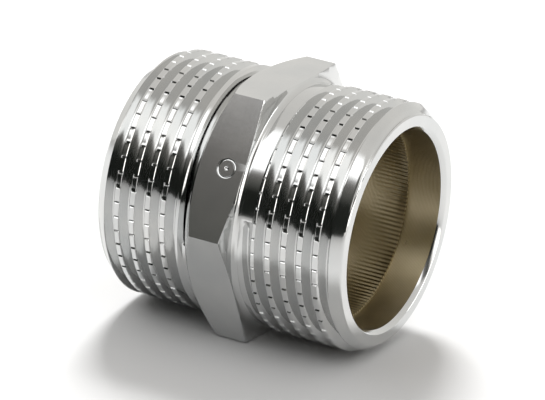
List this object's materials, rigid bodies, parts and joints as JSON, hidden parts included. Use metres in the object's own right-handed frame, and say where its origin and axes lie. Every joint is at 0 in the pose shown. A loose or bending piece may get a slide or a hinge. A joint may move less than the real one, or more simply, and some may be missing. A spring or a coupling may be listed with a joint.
{
  "type": "hex nipple",
  "caption": "Short straight pipe fitting: a hexagon between two male parallel pipe threads, with a straight through bore, plated outside.",
  "frame": {"origin": "on the bore axis, half way between the two end faces", "axes": "+X along the bore towards the right-hand end, +Y across two corners of the hexagon, +Z square to the hexagon's upper flat"},
  "size_m": [0.0286, 0.0308, 0.0268],
  "materials": {
    "brass": "bare machined brass",
    "chrome": "bright plated"
  },
  "bodies": {
    "root": {"brass_body": "brass", "chrome_plating": "chrome"}
  },
  "joints": []
}
